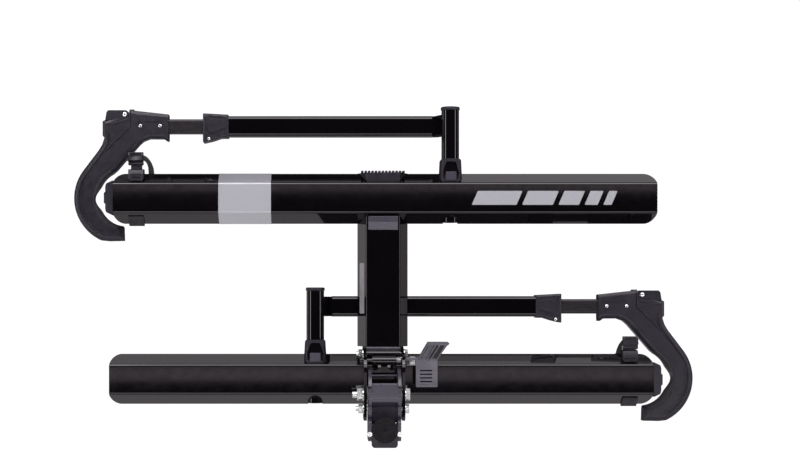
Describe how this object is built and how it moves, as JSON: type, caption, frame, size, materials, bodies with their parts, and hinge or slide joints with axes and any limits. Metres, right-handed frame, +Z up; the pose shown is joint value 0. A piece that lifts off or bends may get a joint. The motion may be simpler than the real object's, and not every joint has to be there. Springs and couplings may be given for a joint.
{
  "type": "hitch mounted bike rack",
  "caption": "Folding platform bike rack for a square hitch receiver, with channel wheel trays, swinging ratchet arms with tyre hooks and wheel straps, stowed upright.",
  "frame": {"origin": "centre of the hitch pin hole in the stinger", "axes": "+X to the right seen from behind the car and along the pin hole, +Y towards the car along the stinger, +Z up"},
  "size_m": [1.355, 0.391, 0.7265],
  "materials": {
    "gloss_black": "high gloss black powder coat",
    "satin_black": "satin black paint on steel plate",
    "charcoal_plastic": "moulded charcoal nylon",
    "grey_plastic": "satin grey moulded plastic",
    "rubber": "black rubber",
    "zinc": "bright zinc plated steel",
    "anodised": "black anodised aluminium",
    "bare_steel": "plain steel",
    "silver_band": "silver grey reflective film",
    "nylon": "natural nylon",
    "wedge": "cast aluminium"
  },
  "bodies": {
    "hitch": {"stinger": "satin_black", "stinger_cover": "charcoal_plastic", "head_screws": "zinc", "head_side_plates": "satin_black", "head_cross_plate": "satin_black", "latch_bar": "satin_black"},
    "knob": {"knob": "charcoal_plastic", "knob_rod": "zinc"},
    "wedge": {"wedge_block": "wedge"},
    "rack": {"pivot_plates": "satin_black", "pivot_bolt": "zinc", "pivot_washers": "nylon", "stop_bolt": "zinc", "top_bolts": "zinc", "spine_foot_plate": "satin_black", "spine": "gloss_black", "spine_end_plug": "grey_plastic", "tray_spacer": "satin_black", "tray_studs": "zinc", "tray_gusset": "satin_black", "upper_tray": "gloss_black", "upper_end_cap": "charcoal_plastic", "upper_band": "silver_band", "upper_boot": "charcoal_plastic", "upper_axle": "bare_steel", "upper_strap": "rubber", "upper_buckle": "charcoal_plastic", "upper_strap_pad": "rubber", "lower_tray": "gloss_black", "lower_end_cap": "charcoal_plastic", "lower_boot": "charcoal_plastic", "lower_axle": "bare_steel", "lower_strap": "rubber", "lower_buckle": "charcoal_plastic", "lower_strap_pad": "rubber"},
    "latch": {"latch_shaft": "satin_black", "latch_pawl": "satin_black", "latch_spring": "bare_steel", "pedal": "grey_plastic", "pedal_bolt": "zinc"},
    "arm_upper": {"upper_post": "gloss_black", "upper_post_cap": "charcoal_plastic", "upper_arm": "gloss_black", "upper_collar": "charcoal_plastic"},
    "hook_upper": {"upper_inner_tube": "anodised", "upper_hook": "charcoal_plastic", "upper_hook_lining": "rubber", "upper_hook_screws": "zinc"},
    "release_upper": {"upper_hook_lever": "charcoal_plastic"},
    "ratchet_upper": {"upper_buckle_lever": "charcoal_plastic"},
    "arm_lower": {"lower_post": "gloss_black", "lower_post_cap": "charcoal_plastic", "lower_arm": "gloss_black", "lower_collar": "charcoal_plastic"},
    "hook_lower": {"lower_inner_tube": "anodised", "lower_hook": "charcoal_plastic", "lower_hook_lining": "rubber", "lower_hook_screws": "zinc"},
    "release_lower": {"lower_hook_lever": "charcoal_plastic"},
    "ratchet_lower": {"lower_buckle_lever": "charcoal_plastic"}
  },
  "joints": [
    {"name": "fold", "type": "hinge", "parent": "hitch", "child": "rack", "pos_m": [0, -0.2, 0.084], "axis": [1, 0, 0], "range_deg": [0, 115]},
    {"name": "latch_release", "type": "hinge", "parent": "rack", "child": "latch", "pos_m": [0, -0.19, 0.155], "axis": [1, 0, 0], "range_deg": [0, 25], "stiffness_Nm_per_rad": 3, "springref_deg": -20.05},
    {"name": "knob_turn", "type": "hinge", "parent": "hitch", "child": "knob", "pos_m": [0, -0.245, 0.012], "axis": [0, 1, 0], "range_deg": [0, 2160.1]},
    {"name": "wedge_slide", "type": "slide", "parent": "hitch", "child": "wedge", "axis": [0, -1, 0], "range_m": [0, 0.006]},
    {"name": "arm_swing_upper", "type": "hinge", "parent": "rack", "child": "arm_upper", "pos_m": [0.146, -0.111, 0.6524], "axis": [0, 0, -1], "range_deg": [0, 150]},
    {"name": "hook_slide_upper", "type": "slide", "parent": "arm_upper", "child": "hook_upper", "axis": [-1, 0, 0], "range_m": [-0.0571, 0.2029]},
    {"name": "release_upper", "type": "hinge", "parent": "hook_upper", "child": "release_upper", "pos_m": [-0.5631, -0.055, 0.6891], "axis": [0, 1, 0], "range_deg": [0, 18], "stiffness_Nm_per_rad": 0.4, "springref_deg": -17.19},
    {"name": "ratchet_upper", "type": "hinge", "parent": "rack", "child": "ratchet_upper", "pos_m": [-0.532, -0.1275, 0.5784], "axis": [1, 0, 0], "range_deg": [0, 70]},
    {"name": "arm_swing_lower", "type": "hinge", "parent": "rack", "child": "arm_lower", "pos_m": [-0.146, -0.111, 0.2624], "axis": [0, 0, 1], "range_deg": [0, 150]},
    {"name": "hook_slide_lower", "type": "slide", "parent": "arm_lower", "child": "hook_lower", "axis": [1, 0, 0], "range_m": [-0.0629, 0.1971]},
    {"name": "release_lower", "type": "hinge", "parent": "hook_lower", "child": "release_lower", "pos_m": [0.5689, -0.055, 0.2947], "axis": [0, -1, 0], "range_deg": [0, 18], "stiffness_Nm_per_rad": 0.4, "springref_deg": -17.19},
    {"name": "ratchet_lower", "type": "hinge", "parent": "rack", "child": "ratchet_lower", "pos_m": [0.532, -0.1275, 0.1824], "axis": [1, 0, 0], "range_deg": [0, 70]}
  ],
  "couplings": [
    {"joint": "knob_turn", "follows": "wedge_slide", "rad_per_m": 6283.2}
  ]
}
